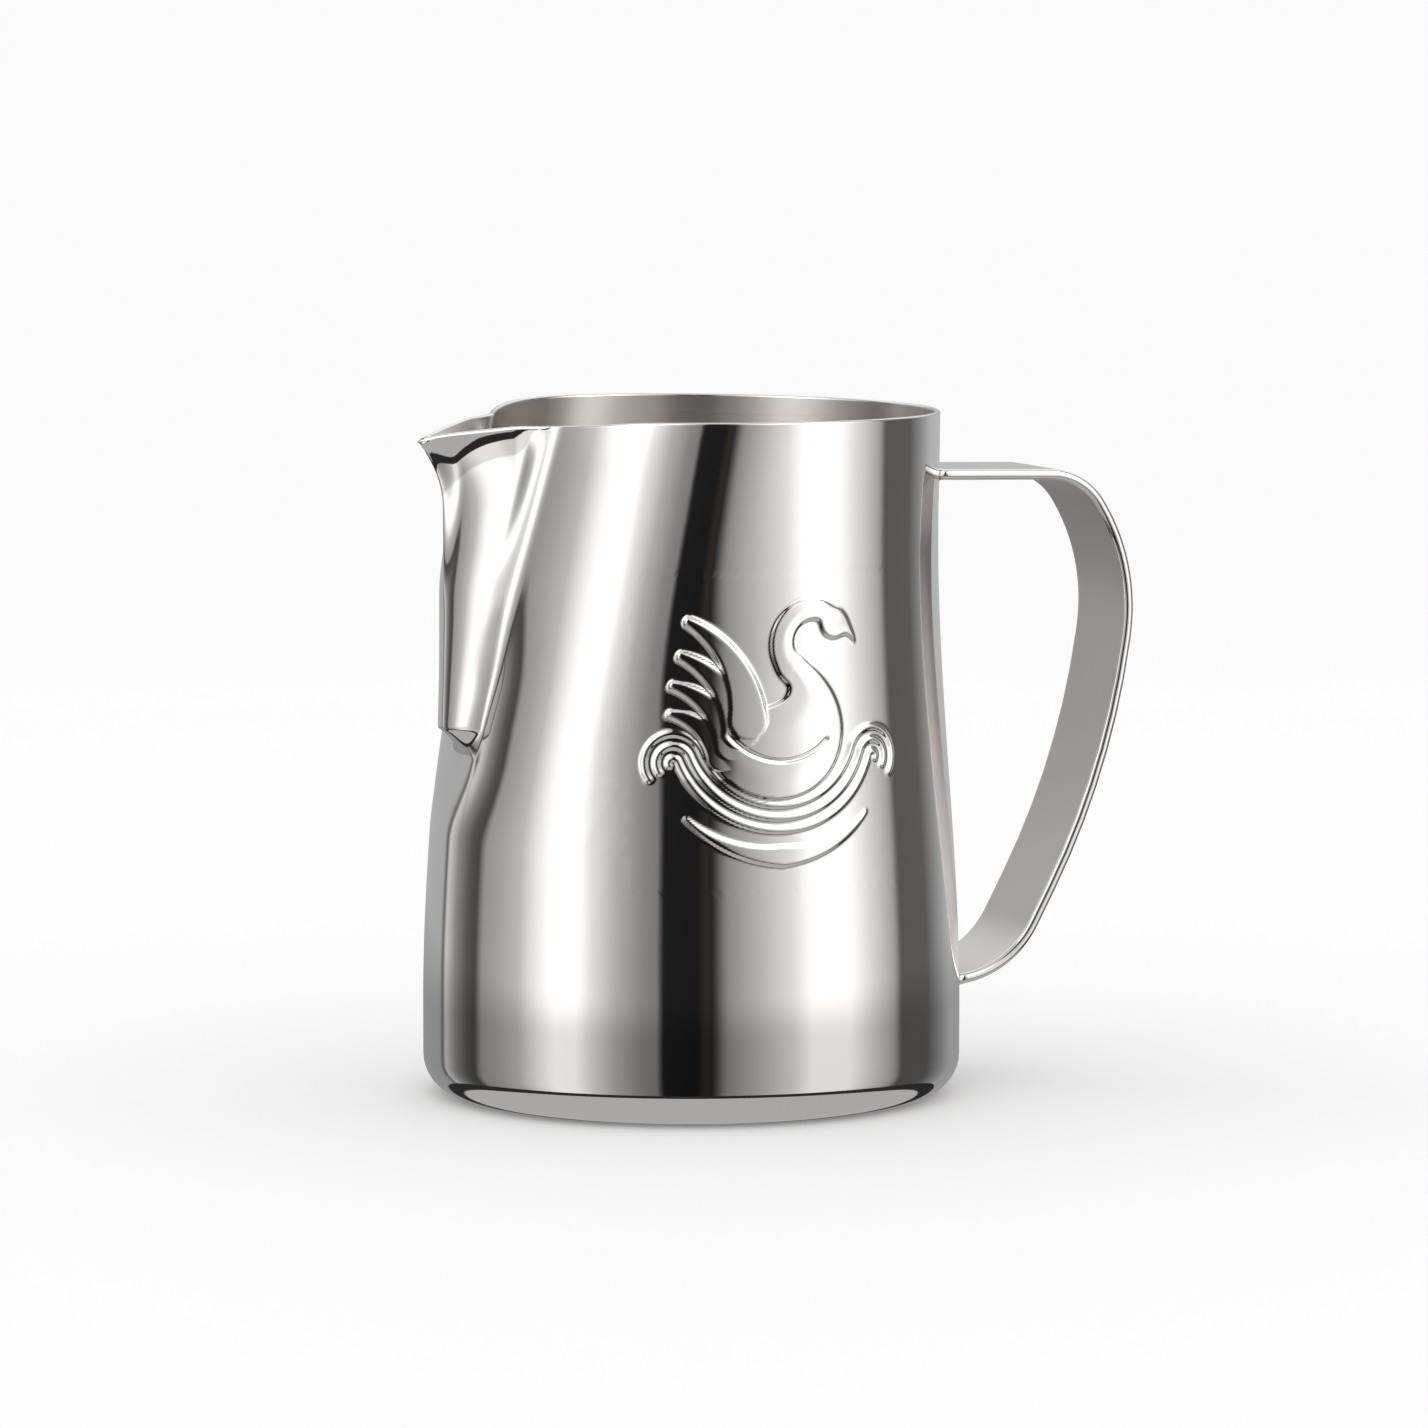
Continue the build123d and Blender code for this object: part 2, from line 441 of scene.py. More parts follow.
def planAt(height):
    # each height's plan is worked out once
    key = round(height, 4)
    if key not in planCache:
        planCache[key] = halfPlan(height)
    return planCache[key]


def planPoint(station, height):
    plan = planAt(height)
    radius, first, last, _, panelCurve = plan
    kind, share = station
    if kind == "arc":
        return heading(mix(0.0, 180 - first, share)) * radius
    # the crease is rounded off over this much of the flank and of the panel
    opened = clamp(spoutShare(height) * spout["roundGain"])
    roundOff = mix(spout["creaseRoundToe"], spout["creaseRound"], opened)
    flankEnd = last + degrees(roundOff / radius)
    panelStart = roundOff / (3 * (panelCurve[1] - panelCurve[0]).length)
    if kind == "flank":
        return flankPoint(plan, mix(first, flankEnd, share))
    if kind == "panel":
        point = bezier(panelCurve, mix(panelStart, 1.0, share))
        return point * (1 + lipFlare(height, share) / point.length)
    before = flankPoint(plan, flankEnd)
    after = bezier(panelCurve, panelStart)
    rest = 1 - share
    return before * rest**2 + panelCurve[0] * (2 * rest * share) + after * share**2


lipX = -cup["rimDiameter"] / 2 - rim["lipReach"]
rimKnots = [  # x and z of the rim line seen from the side, from the lip to the handle
    (lipX - rim["margin"], cup["bodyHeight"] - rim["lipDrop"] - rim["margin"]),
    (lipX, cup["bodyHeight"] - rim["lipDrop"]),
    (-rim["creaseX"] - rim["kneeReach"], cup["bodyHeight"] - rim["kneeDrop"]),
    (-rim["creaseX"], cup["bodyHeight"] - rim["creaseDrop"]),
    (-rim["shoulder"], cup["bodyHeight"] - rim["shoulderDrop"]),
    (0.0, cup["bodyHeight"]),
    (cup["rimDiameter"] / 2 + rim["margin"], cup["bodyHeight"] - rim["heelDrop"]),
]


def knotSlope(index):
    beforeX, beforeZ = rimKnots[max(index - 1, 0)]
    afterX, afterZ = rimKnots[min(index + 1, len(rimKnots) - 1)]
    return (afterZ - beforeZ) / (afterX - beforeX)


def rimHeight(x):
    # a smooth curve through the knots
    index = 0
    while index < len(rimKnots) - 2 and x > rimKnots[index + 1][0]:
        index += 1
    lowX, lowZ = rimKnots[index]
    highX, highZ = rimKnots[index + 1]
    width = highX - lowX
    share = clamp((x - lowX) / width)
    lowSlope = knotSlope(index) * width
    highSlope = knotSlope(index + 1) * width
    square, cube = share**2, share**3
    return (lowZ * (2 * cube - 3 * square + 1) + lowSlope * (cube - 2 * square + share)
            + highZ * (3 * square - 2 * cube) + highSlope * (cube - square))


def rimLevel(station):
    # the height at which a column meets the rim line
    level = cup["bodyHeight"] - rim["margin"]
    for _ in range(rim["levelRounds"]):
        level = mix(level, rimHeight(planPoint(station, level).x), 0.5)
    return level


def lipRoll(station, below):
    # the panel is drawn in a little under the rim, so that its edge rolls outwards
    kind, share = station
    if kind != "panel":
        return 0.0
    depth = below / spout["rollHeight"]
    inward = (1 - (1 - clamp(depth)) ** 2) * (1 - ease((depth - 1) / spout["rollReturn"]))
    ends = ease(share / spout["rollFadeIn"]) * ease((1 - share) / spout["rollFadeOut"])
    return spout["rollReach"] * inward * ends


def cupRows():
    # each row is a foot radius, a corner angle or a wall height
    flatRadius = cup["baseDiameter"] / 2 - cup["cornerRadius"]
    flareStart = cup["bodyHeight"] - spout["flareLength"]
    toeLow = spout["toeHeight"] - cup["toeBelow"]
    toeHigh = spout["toeHeight"] + cup["toeAbove"]
    rimLow = cup["bodyHeight"] - cup["rimZone"]
    rows = [("foot", radius) for radius in cup["footRings"]]
    rows += [("corner", angle) for angle in stops(0.0, 90.0, cup["cornerRows"])]
    for low, high, count in (
        (cup["cornerRadius"], toeLow, cup["wallRows"]),
        (toeLow, toeHigh, cup["toeRows"]),
        (toeHigh, flareStart, cup["panelRows"]),
        (flareStart, rimLow, cup["flareRows"]),
        (rimLow, cup["bodyHeight"], cup["rimRows"]),
    ):
        rows += [("wall", height) for height in stops(low, high, count)]
    return rows + [("wall", cup["bodyHeight"])], flatRadius, flareStart


def makeCup():
    half = stations()
    columns = 2 * (len(half) - 1)
    rows, flatRadius, flareStart = cupRows()
    tops = [rimLevel(station) for station in half]
    bpy.ops.object.select_all(action="DESELECT")
    bpy.ops.mesh.primitive_grid_add(x_subdivisions=columns, y_subdivisions=len(rows) - 1, size=1)
    piece = bpy.context.object
    piece.name = "cupBody"
    for vertex in piece.data.vertices:
        column = round((vertex.co.x + 0.5) * columns)
        kind, value = rows[round((vertex.co.y + 0.5) * (len(rows) - 1))]
        index = min(column, columns - column)
        side = 1 if column <= columns / 2 else -1
        if kind == "wall":
            height = value
            if value > flareStart:
                share = (value - flareStart) / (cup["bodyHeight"] - flareStart)
                height = mix(flareStart, tops[index], share)
            spot = planPoint(half[index], height)
            if height > spout["toeHeight"]:
                spot = spot * (1 - lipRoll(half[index], tops[index] - height) / spot.length)
        else:
            radius = value
            height = 0.0
            if kind == "corner":
                radius = flatRadius + cup["cornerRadius"] * sin(radians(value))
                height = cup["cornerRadius"] * (1 - cos(radians(value)))
            spot = planPoint(half[index], 0.0) * (radius / wallRadius(0.0))
        vertex.co = Vector((spot.x, spot.y * side, height)) * mm
    return piece


insidePlace, rimPlace = 1, 2  # among the cup's materials


def closeCup(piece):
    # joins the seam and the foot's middle, then gives the sheet its wall and a rounded rim
    editMode(piece)
    bpy.ops.mesh.select_all(action="SELECT")
    bpy.ops.mesh.remove_doubles(threshold=cup["mergeGap"] * mm)
    objectMode()
    for material in (mirrorSteel, insideSteel, rimSteel):
        piece.data.materials.append(material)
    applyModifier(piece, "wall", "SOLIDIFY", thickness=cup["wall"] * mm, offset=-1.0,
                  use_even_offset=True, use_quality_normals=True,
                  material_offset=insidePlace, material_offset_rim=rimPlace)
    rimFaces = {}
    for polygon in piece.data.polygons:
        for key in polygon.edge_keys:
            rimFaces.setdefault(key, []).append(polygon.material_index == rimPlace)
    rimEdges = {key for key, flags in rimFaces.items() if sorted(flags) == [False, True]}
    editMode(piece, "EDGE")
    selectWhere(piece, "edges", lambda edge: tuple(sorted(edge.vertices)) in rimEdges)
    bpy.ops.mesh.bevel(offset=cup["rimRound"] * mm, segments=cup["bevelSteps"], material=rimPlace)
    objectMode()


# the pressed relief is a plain swan on ripples, in millimetres on the unrolled wall: sideways from
# the middle of the front, and up from the relief's centre
relief = {
    "centreHeight": 60.8,
    "halfSpan": 24.0,
    "halfRise": 24.0,
    "margin": 2.0,
    "cuts": 5,
    "padHeight": 0.42,
    "padEdge": 0.62,
    "crown": 0.22,
    "crownEdge": 4.5,
    "featherStep": 0.1,
    "rippleHeight": 0.38,
    "rippleWidth": 0.85,
    "grooveDepth": 0.34,
    "grooveWidth": 0.55,
    "skinDepth": 0.3,
}
# a stroke is an arc's middle x and y, radius, first and last angle, and half width at each end;
# a spot is a disc's middle x and y, sideways squash and radius
swan = {
    "bowl": (1.5, 0.5, 0.94, 11.0),
    "scoop": (4.6, 12.4, 1.0, 8.2),
    "neckLow": (8.6, 0.2, 14.0, 135, 178, 2.2, 3.4),
    "neckHigh": (-5.0, 13.6, 5.2, -45, 140, 2.3, 1.7),
    "head": (-9.0, 16.4, 0.9, 2.5),
    "beak": (-6.6, 10.2, 7.2, 116, 154, 1.8, 0.3),
    "lowBlend": 2.0,
    "highBlend": 1.2,
    "headBlend": 1.0,
    "feathers": [  # from the highest and longest one down
        (23.0, 2.2, 17.0, 118, 180, 1.1, 3.4),
        (21.6, -1.6, 14.6, 112, 172, 1.1, 3.2),
        (20.4, -4.4, 12.2, 104, 166, 1.0, 3.0),
        (19.2, -6.6, 9.8, 98, 160, 0.9, 2.8),
    ],
    "groove": (0.5, 6.4, 10.6, 226, 322, 0.0, 0.0),
}
water = {
    "middle": (0.8, 2.4),
    "rippleRadii": (13.4, 15.3, 17.2),
    "hookRadius": 17.9,
    "hookAngle": -22.0,
    "hookStart": -35,
    "wakeRadius": 21.2,
    "wakeStrokes": [(226, 270, 0.5, 1.9), (270, 314, 1.9, 0.5)],
}


def arcStroke(x, y, stroke):
    # distance outside a curved stroke whose half width runs from one end's to the other's
    middleX, middleY, radius, first, last, thin, thick = stroke
    angle = degrees(atan2(y - middleY, x - middleX))
    while angle < first - (360 - last + first) / 2:
        angle += 360
    while angle > last + (360 - last + first) / 2:
        angle -= 360
    share = clamp((angle - first) / (last - first))
    nearest = radians(mix(first, last, share))
    gap = hypot(x - middleX - radius * cos(nearest), y - middleY - radius * sin(nearest))
    return gap - mix(thin, thick, share)


def outsideSpot(x, y, spot):
    middleX, middleY, squash, radius = spot
    return hypot((x - middleX) * squash, y - middleY) - radius


def softMin(first, second, width):
    blend = max(width - abs(first - second), 0.0) / width
    return min(first, second) - blend**2 * width / 4


def swanDistance(x, y):
    # bowl-shaped body, S-shaped neck, head and beak, joined softly
    away = max(outsideSpot(x, y, swan["bowl"]), -outsideSpot(x, y, swan["scoop"]))
    away = softMin(away, arcStroke(x, y, swan["neckLow"]), swan["lowBlend"])
    away = softMin(away, arcStroke(x, y, swan["neckHigh"]), swan["highBlend"])
    away = softMin(away, outsideSpot(x, y, swan["head"]), swan["headBlend"])
    return softMin(away, arcStroke(x, y, swan["beak"]), swan["headBlend"])


def crossBump(gap, width):
    # a rounded ridge along a line
    return ease(1 - gap / width)


def ripples(x, y):
    # nested bowls whose ends curl over to both sides, with a crescent of two strokes under them
    height = 0.0
    middleX, middleY = water["middle"]
    side = abs(x - middleX)
    hookX = water["hookRadius"] * cos(radians(water["hookAngle"]))
    hookY = middleY + water["hookRadius"] * sin(radians(water["hookAngle"]))
    for radius in water["rippleRadii"]:
        sweep = (0.0, middleY, radius, -90, water["hookAngle"], 0.0, 0.0)
        hook = (hookX, hookY, water["hookRadius"] - radius,
                water["hookStart"], 180 + water["hookAngle"], 0.0, 0.0)
        gap = min(arcStroke(side, y, sweep), arcStroke(side, y, hook))
        height = max(height, relief["rippleHeight"] * crossBump(gap, relief["rippleWidth"]))
    for wake in water["wakeStrokes"]:
        gap = arcStroke(x, y, (middleX, middleY, water["wakeRadius"], *wake))
        height = max(height, relief["padHeight"] * ease(-gap / relief["padEdge"]))
    return height


def reliefHeight(x, y):
    # the swan is drawn looking left and pressed looking right, towards the handle
    x = -x
    away = swanDistance(x, y)
    height = relief["padHeight"] * ease(-away / relief["padEdge"])
    height += relief["crown"] * ease(-away / relief["crownEdge"])
    for order, feather in enumerate(swan["feathers"]):
        gap = arcStroke(x, y, feather)
        lift = relief["padHeight"] + relief["featherStep"] * (len(swan["feathers"]) - order)
        height = max(height, lift * ease(-gap / relief["padEdge"]))
    groove = arcStroke(x, y, swan["groove"])
    height -= relief["grooveDepth"] * crossBump(groove, relief["grooveWidth"])
    return max(height, ripples(x, y))


flankReach = 0.4  # radians from the front; the wall is round beyond it


def skinRadius(azimuth, height):
    # the outer skin's distance from the axis; azimuth is in radians from the front,
    # towards the handle
    plan = planAt(height)
    return flankPoint(plan, 90 + degrees(azimuth)).length if azimuth < flankReach else plan[0]


def pressRelief(piece):
    # finer faces on the front of the outer skin, each moved out by the relief's height
    editMode(piece, "FACE")
    low = relief["centreHeight"] - relief["halfRise"]
    high = relief["centreHeight"] + relief["halfRise"]
    halfTurn = relief["halfSpan"] / wallRadius(relief["centreHeight"])

    def onSkin(x, y, z, margin):
        # the azimuth and skin radius of a point near the relief, or nothing elsewhere
        azimuth = atan2(x, -y)
        if not low - margin < z < high + margin or abs(azimuth) > halfTurn + margin / high:
            return None
        radius = skinRadius(azimuth, round(z, 3))
        return (azimuth, radius) if hypot(x, y) > radius - relief["skinDepth"] else None

    selectWhere(piece, "polygons", lambda polygon: onSkin(*(polygon.center / mm), 0.0) is not None)
    bpy.ops.mesh.subdivide(number_cuts=relief["cuts"])
    objectMode()
    for vertex in piece.data.vertices:
        x, y, z = vertex.co / mm
        found = onSkin(x, y, z, relief["margin"])
        if found:
            azimuth, radius = found
            along = azimuth * wallRadius(relief["centreHeight"])
            radius += reliefHeight(along, z - relief["centreHeight"])
            vertex.co = Vector((radius * sin(azimuth), -radius * cos(azimuth), z)) * mm


body = makeCup()
closeCup(body)
print("cup closed,", len(body.data.polygons), "faces")
pressRelief(body)
smoothShade(body)
print("relief pressed,", len(body.data.polygons), "faces")
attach(body, "root")
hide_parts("body")


strap = {
    "width": 19.1,
    "thickness": 1.7,
    "rootDepth": 6.0,
    "topDrop": 11.0,
    "topSlope": 1.3,
    "kneeReach": 24.4,
    "peakReach": 33.6,
    "peakDrop": 26.5,
    "backReach": 28.8,
    "backHeight": 49.3,
    "heelReach": 9.0,
    "heelHeight": 18.2,
    "footSlope": 9.5,
    "bends": (5.7, 11.2, 20.8, 7.9),
    "clearance": 0.2,
    "seat": 0.35,
    "step": 3.0,
    "edgeVertices": 24,
    "endSlack": 1.8,
    "flatCuts": 7,
    "bendStep": 3.0,
    "fewestSteps": 6,
    "mergeGap": 0.001,
}
outerPlace, innerPlace, edgePlace = 0, 1, 2  # among the strap's materials


def strapCorners():
    rimRadius = cup["rimDiameter"] / 2
    rootX = cup["waistDiameter"] / 2 - strap["rootDepth"]
    topZ = cup["bodyHeight"] - strap["topDrop"]
    heelX = cup["baseDiameter"] / 2 + strap["heelReach"]
    fall = tan(radians(strap["topSlope"]))
    footFall = tan(radians(strap["footSlope"]))
    return [Vector(point) for point in (
        (rootX, topZ + (rimRadius - rootX) * fall),
        (rimRadius + strap["kneeReach"], topZ - strap["kneeReach"] * fall),
        (rimRadius + strap["peakReach"], cup["bodyHeight"] - strap["peakDrop"]),
        (rimRadius + strap["backReach"], strap["backHeight"]),
        (heelX, strap["heelHeight"]),
        (rootX, strap["heelHeight"] - (heelX - rootX) * footFall),
    )]


def strapBends(corners):
    # how far from its corner each bend starts; two that would overlap are both shortened
    lengths = [(after - before).length for before, after in zip(corners, corners[1:])]
    starts = [0.0, *strap["bends"], 0.0]
    bends = []
    for index, bend in enumerate(strap["bends"]):
        for length, pair in ((lengths[index], starts[index:index + 2]),
                             (lengths[index + 1], starts[index + 1:index + 3])):
            bend = min(bend, strap["bends"][index] * (length - strap["clearance"]) / sum(pair))
        bends.append(bend)
    return bends


def makeStrap():
    corners = strapCorners()
    bends = strapBends(corners)
    runs = [(after - before).normalized() for before, after in zip(corners, corners[1:])]
    # both ends stop just inside the wall
    for end, run in ((0, runs[0]), (-1, runs[-1])):
        wallX = wallRadius(corners[end].y) - strap["endSlack"]
        corners[end] = corners[end] + run * ((wallX - corners[end].x) / run.x)
    start = corners[0]
    bpy.ops.object.select_all(action="DESELECT")
    bpy.ops.mesh.primitive_circle_add(vertices=strap["edgeVertices"], location=(0, 0, 0),
                                      radius=strap["thickness"] / 2 * mm)
    piece = bpy.context.object
    piece.name = "strapHandle"
    # the circle is parted into the two rounded edges, then stood up across the first run
    reach = (strap["width"] - strap["thickness"]) / 2 * mm
    up = Vector((-runs[0].y, runs[0].x))
    turnStep = 2 * pi / strap["edgeVertices"]
    for vertex in piece.data.vertices:
        angle = (vertex.index + 0.5) * turnStep
        sideways = strap["thickness"] / 2 * mm * cos(angle)
        outward = strap["thickness"] / 2 * mm * sin(angle)
        sideways += reach if cos(angle) > 0 else -reach
        vertex.co = Vector((start.x * mm + up.x * outward, sideways, start.y * mm + up.y * outward))
    editMode(piece, "EDGE")
    points = piece.data.vertices

    def isFlat(edge):
        near, far = (points[index].co.y for index in edge.vertices)
        return abs(near - far) > reach

    selectWhere(piece, "edges", isFlat)
    bpy.ops.mesh.subdivide(number_cuts=strap["flatCuts"])
    bpy.ops.mesh.select_all(action="SELECT")
    for index, run in enumerate(runs):
        before = bends[index - 1] if index else 0.0
        after = bends[index] if index < len(bends) else 0.0
        length = (corners[index + 1] - corners[index]).length - before - after
        count = max(1, round(length / strap["step"]))
        move = run * (length / count * mm)
        for _ in range(count):
            bpy.ops.mesh.extrude_edges_move(TRANSFORM_OT_translate={"value": (move.x, 0, move.y)})
        if index < len(bends):
            turn = run.angle(runs[index + 1])
            radius = bends[index] / tan(turn / 2)
            bendStart = corners[index + 1] - run * bends[index]
            middle = bendStart + Vector((run.y, -run.x)) * radius
            steps = max(strap["fewestSteps"], round(degrees(turn) / strap["bendStep"]))
            bpy.ops.mesh.spin(steps=steps, angle=-turn, axis=(0, 1, 0),
                              center=(middle.x * mm, 0, middle.y * mm))
    bpy.ops.mesh.select_all(action="SELECT")
    bpy.ops.mesh.remove_doubles(threshold=strap["mergeGap"] * mm)
    bpy.ops.mesh.select_all(action="DESELECT")
    bpy.ops.mesh.select_mode(type="EDGE")
    bpy.ops.mesh.select_non_manifold()
    bpy.ops.mesh.fill_holes(sides=0)
    bpy.ops.mesh.select_all(action="SELECT")
    bpy.ops.mesh.normals_make_consistent(inside=False)
    objectMode()
    # each end's outline is carried onto the wall, a little way into its thickness
    ends = [polygon for polygon in piece.data.polygons if len(polygon.vertices) > 4]
    for polygon in ends:
        for index in polygon.vertices:
            point = points[index].co
            radius = wallRadius(point.z / mm) - strap["seat"]
            point.x = (radius**2 - (point.y / mm) ** 2) ** 0.5 * mm
    return piece


def finishStrap(piece):
    # rounded edges polished bright, the loop's inner face left satin
    for material in (strapOuterSteel, strapInnerSteel, strapEdgeSteel):
        piece.data.materials.append(material)
    flatHalf = (strap["width"] - strap["thickness"]) / 2 * mm
    middleX = cup["rimDiameter"] / 2 + strap["kneeReach"] / 2
    loopMiddle = Vector((middleX, 0, cup["bodyHeight"] / 2)) * mm
    for polygon in piece.data.polygons:
        outwards = polygon.normal.dot(polygon.center - loopMiddle) > 0
        polygon.material_index = outerPlace if outwards else innerPlace
        if abs(polygon.center.y) > flatHalf:
            polygon.material_index = edgePlace
    smoothShade(piece)
    applyModifier(piece, "evenShading", "WEIGHTED_NORMAL", keep_sharp=True, weight=50)


handle = makeStrap()
finishStrap(handle)
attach(handle, "root")
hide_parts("handle")
print("strap ready,", len(handle.data.polygons), "faces")

for name in ("upper_weld", "lower_weld"):
    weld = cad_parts[name]
    for slot in weld.material_slots:
        slot.material = weldSteel


studio = {
    "sides": 96,
    "tentRadius": 0.7,
    "tentTop": 1.1,
    "tentFoot": -0.30,
    "strength": 1.7,
    "fades": ((-0.078, -0.045, 0.66, 1.0), (0.2, 0.45, 1.0, 2.2)),
    "tableRadius": 0.63,
    "tableAt": -0.37,
    "tableTone": 0.44,
    "tableColour": (1.0, 0.98, 0.97),
    "viewAzimuth": -21.168,
    "cameraAt": (-0.43972, -1.14552, 0.18533),
    "lookAt": (0.003577, -0.000745, 0.059860),
    "lens": 196.79,
    "filmWidth": 36,
    "farthest": 100,
    "floorSize": 40,
    "floorTone": 0.93,
    "floorRoughness": 0.9,
    "floorShine": 0.1,
    "skyTone": 1.06,
}

# what stands round the object, by its angle to the right of the camera: (degrees, warm, brightness)
panels = [
    (-180, -0.3, 0.46), (-134, -0.2, 0.42), (-131, 0.5, 0.08), (-128, 0.5, 0.62),
    (-119, 0.5, 0.26), (-110, 1.0, 0.10), (-103, 1.0, 0.062), (-98.5, 0.5, 0.32),
    (-88, 0.6, 0.40), (-77, 0.6, 0.54), (-66, 0.5, 1.0), (-58, 0.4, 1.3),
    (-48, 0.4, 1.25), (-42, 0.5, 0.84), (-31, 0.5, 0.46), (-20, 0.5, 0.26),
    (-13.2, 0.6, 0.21), (-12.4, 0.2, 0.012), (3.0, 0.2, 0.010), (6.5, 6.0, 0.030),
    (9.0, 1.0, 0.014), (11.4, 0.2, 0.10), (15, 0.4, 0.27), (28, 0.6, 0.49),
    (43, 0.6, 0.80), (52, 0.4, 1.2), (69.5, 0.4, 1.2), (80, 0.6, 0.80),
    (95, 0.8, 0.38), (99, 1.2, 0.10), (119, 0.8, 0.11), (144, -0.3, 0.48),
]
# the room that reflections see past the tent, from straight down to straight up: (place, colour)
roomStops = [
    (0.0, (0.02, 0.02, 0.02, 1)), (0.86, (0.03, 0.03, 0.03, 1)),
    (0.90, (0.6, 0.6, 0.6, 1)), (1.0, (0.75, 0.74, 0.73, 1)),
]


def panelColour(warmth, brightness):
    # warm grey to lavender grey
    level = brightness / studio["strength"]
    return (level * (1 + 0.03 * warmth), level * (1 - 0.02 * warmth), level * (1 - 0.05 * warmth), 1)


def glowMaterial(name, strength):
    material = bpy.data.materials.new(name)
    material.use_nodes = True
    nodes = material.node_tree.nodes
    nodes.remove(nodes["Principled BSDF"])
    glow = nodes.new("ShaderNodeEmission")
    glow.inputs["Strength"].default_value = strength
    material.node_tree.links.new(glow.outputs[0], nodes["Material Output"].inputs["Surface"])
    return material, glow


def maths(tree, operation, *values):
    # a Math node; each value is a number or another node's output
    node = tree.nodes.new("ShaderNodeMath")
    node.operation = operation
    for socket, value in zip(node.inputs, values):
        if isinstance(value, (int, float)):
            socket.default_value = value
        else:
            tree.links.new(value, socket)
    return node.outputs[0]


def rampNode(tree, stopList, share):
    # a colour ramp through the given (place, colour) stops
    ramp = tree.nodes.new("ShaderNodeValToRGB")
    elements = ramp.color_ramp.elements
    for index, (place, colour) in enumerate(stopList):
        stop = elements[index] if index < 2 else elements.new(place)
        stop.position = place
        stop.color = colour
    tree.links.new(share, ramp.inputs["Fac"])
    return ramp.outputs["Color"]


def reflectionOnly(obj):
    # the camera and the floor don't see it, and it throws no shadow
    obj.visible_camera = False
    obj.visible_diffuse = False
    obj.visible_shadow = False


def makeTent():
    # a round light tent with darker gaps between its lit panels, seen only in reflections
    bpy.ops.object.select_all(action="DESELECT")
    height = studio["tentTop"] - studio["tentFoot"]
    middle = (studio["tentTop"] + studio["tentFoot"]) / 2
    bpy.ops.mesh.primitive_cylinder_add(vertices=studio["sides"], radius=studio["tentRadius"],
                                        depth=height, end_fill_type="NOTHING",
                                        location=(0, 0, middle))
    tent = bpy.context.object
    tent.name = "lightTent"
    bpy.ops.object.transform_apply(location=True)
    material, glow = glowMaterial("tentGlow", studio["strength"])
    tree = material.node_tree
    where = tree.nodes.new("ShaderNodeTexCoord")
    turn = tree.nodes.new("ShaderNodeMapping")
    # turned so that the camera's own direction is the middle of the ramp
    turn.inputs["Rotation"].default_value = (0, 0, radians(90 - studio["viewAzimuth"]))
    parts = tree.nodes.new("ShaderNodeSeparateXYZ")
    tree.links.new(where.outputs["Object"], turn.inputs["Vector"])
    tree.links.new(turn.outputs["Vector"], parts.inputs["Vector"])
    angle = maths(tree, "ARCTAN2", parts.outputs["Y"], parts.outputs["X"])
    share = maths(tree, "MULTIPLY_ADD", angle, 0.5 / pi, 0.5)
    stopList = [(degreesRight / 360 + 0.5, panelColour(warmth, brightness))
                for degreesRight, warmth, brightness in panels]
    colour = rampNode(tree, stopList, share)
    # the light fades a little towards the table, and is strongest overhead
    strength = studio["strength"]
    for bottom, top, low, high in studio["fades"]:
        fade = tree.nodes.new("ShaderNodeMapRange")
        fade.inputs["From Min"].default_value = bottom
        fade.inputs["From Max"].default_value = top
        fade.inputs["To Min"].default_value = low
        fade.inputs["To Max"].default_value = high
        tree.links.new(parts.outputs["Z"], fade.inputs["Value"])
        strength = maths(tree, "MULTIPLY", fade.outputs["Result"], strength)
    tree.links.new(strength, glow.inputs["Strength"])
    tree.links.new(colour, glow.inputs["Color"])
    tent.data.materials.append(material)
    reflectionOnly(tent)


def makeTable():
    # the pale table the polished foot looks down on, seen only in reflections
    bpy.ops.object.select_all(action="DESELECT")
    bpy.ops.mesh.primitive_circle_add(vertices=studio["sides"], radius=studio["tableRadius"],
                                      fill_type="NGON", location=(0, 0, studio["tableAt"]))
    table = bpy.context.object
    table.name = "tableGlow"
    bpy.ops.object.transform_apply(location=True)
    material, glow = glowMaterial("tableTone", studio["tableTone"])
    glow.inputs["Color"].default_value = (*studio["tableColour"], 1)
    table.data.materials.append(material)
    reflectionOnly(table)


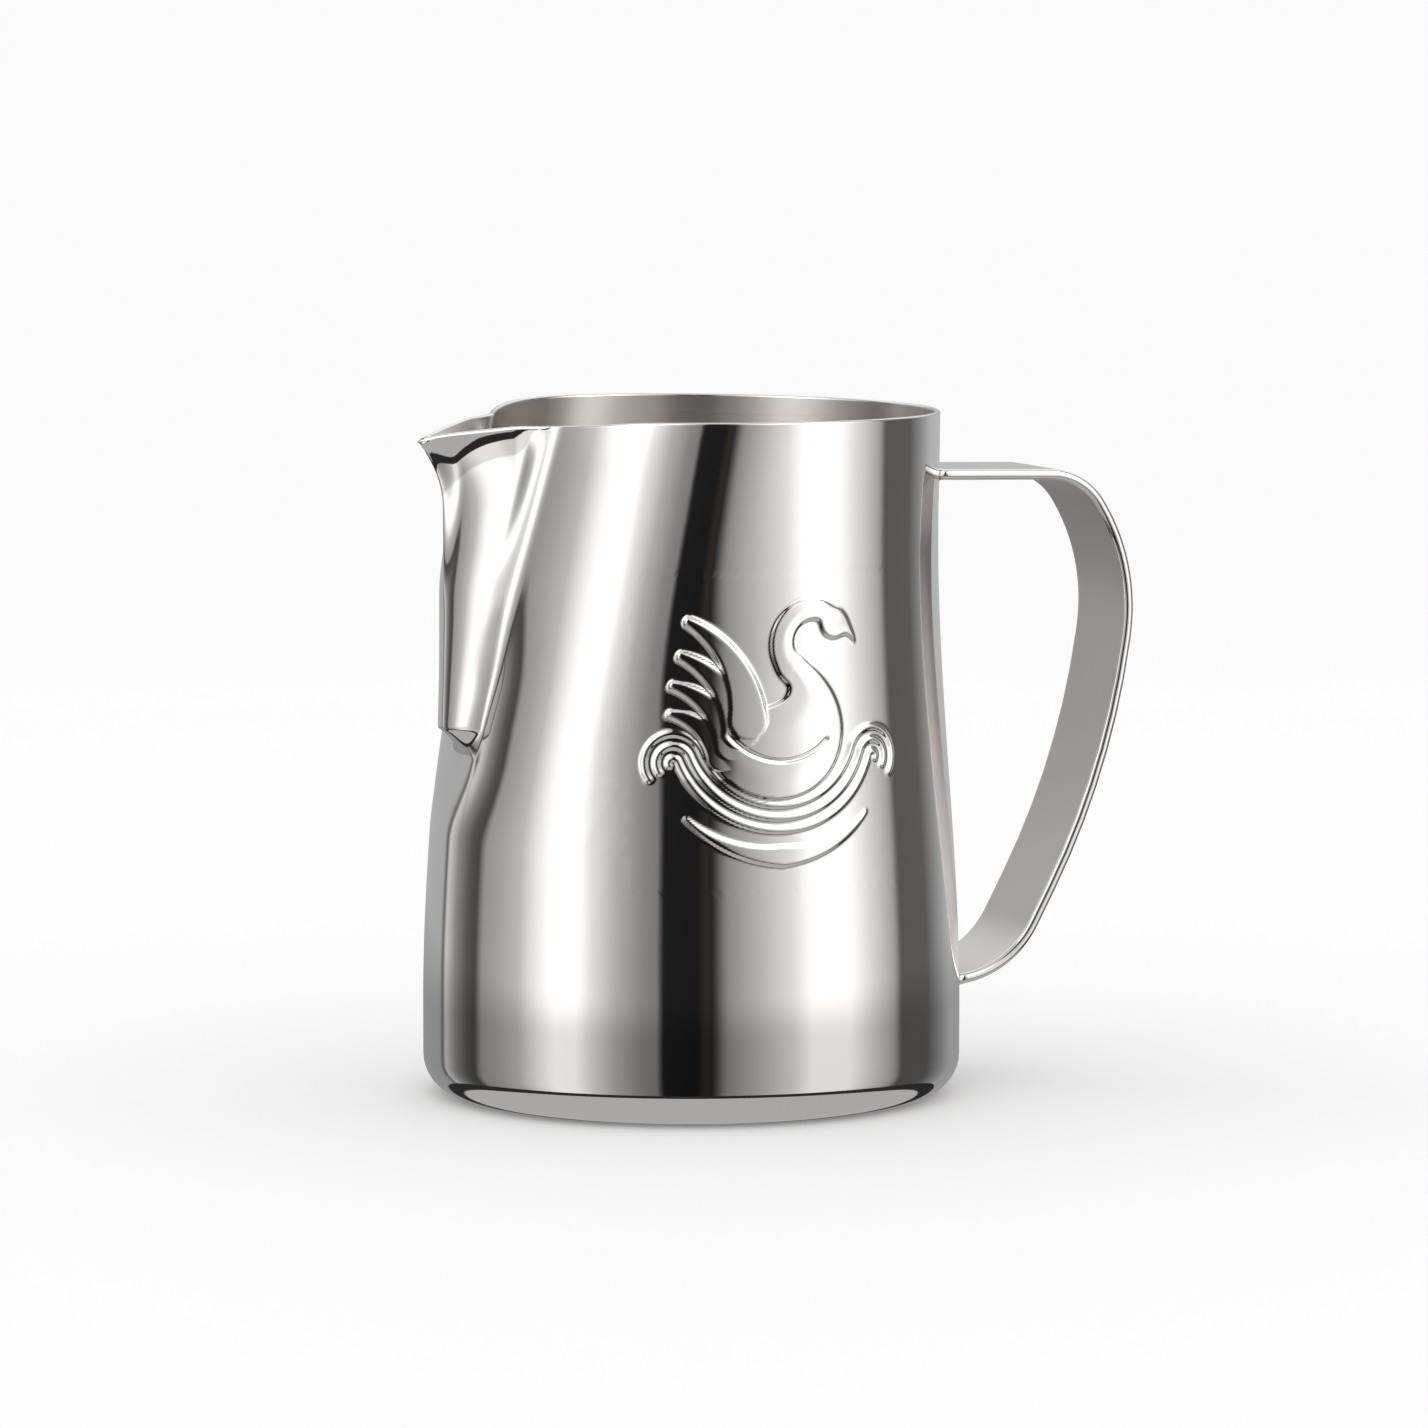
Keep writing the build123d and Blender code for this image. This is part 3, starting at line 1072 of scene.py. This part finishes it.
def makeWorld():
    # an even white room for the floor and the backdrop; reflections see a dark one with a pale
    # ceiling
    world = bpy.data.worlds.new("whiteRoom")
    bpy.context.scene.world = world
    world.use_nodes = True
    tree = world.node_tree
    background = tree.nodes["Background"]
    rays = tree.nodes.new("ShaderNodeLightPath")
    where = tree.nodes.new("ShaderNodeTexCoord")
    parts = tree.nodes.new("ShaderNodeSeparateXYZ")
    tree.links.new(where.outputs["Generated"], parts.inputs["Vector"])
    share = maths(tree, "MULTIPLY_ADD", parts.outputs["Z"], 0.5, 0.5)
    reflected = rampNode(tree, roomStops, share)
    blend = tree.nodes.new("ShaderNodeMix")
    blend.data_type = "RGBA"
    tone = studio["skyTone"]
    colourA, colourB = [socket for socket in blend.inputs if socket.type == "RGBA"]
    colourA.default_value = (tone, tone, tone, 1)
    tree.links.new(rays.outputs["Is Glossy Ray"], blend.inputs["Factor"])
    tree.links.new(reflected, colourB)
    mixed = [socket for socket in blend.outputs if socket.type == "RGBA"][0]
    tree.links.new(mixed, background.inputs["Color"])


def makeFloor():
    # a wide pale floor that reflections don't see
    bpy.ops.object.select_all(action="DESELECT")
    bpy.ops.mesh.primitive_plane_add(size=studio["floorSize"], location=(0, 0, 0))
    floor = bpy.context.object
    floor.name = "paleFloor"
    tone = studio["floorTone"]
    material = nodeMaterial("palePaper", Base_Color=(tone, tone, tone, 1),
                            Roughness=studio["floorRoughness"],
                            Specular_IOR_Level=studio["floorShine"])
    floor.data.materials.append(material)
    floor.visible_glossy = False


def makeCamera():
    data = bpy.data.cameras.new("viewCamera")
    camera = bpy.data.objects.new("viewCamera", data)
    bpy.context.scene.collection.objects.link(camera)
    place = Vector(studio["cameraAt"])
    camera.location = place
    camera.rotation_euler = (Vector(studio["lookAt"]) - place).to_track_quat("-Z", "Y").to_euler()
    data.sensor_width = studio["filmWidth"]
    data.lens = studio["lens"]
    data.clip_end = studio["farthest"]
    bpy.context.scene.camera = camera


makeTent()
makeTable()
makeWorld()
makeFloor()
makeCamera()
bpy.context.scene.view_settings.view_transform = "Standard"
print("studio ready")
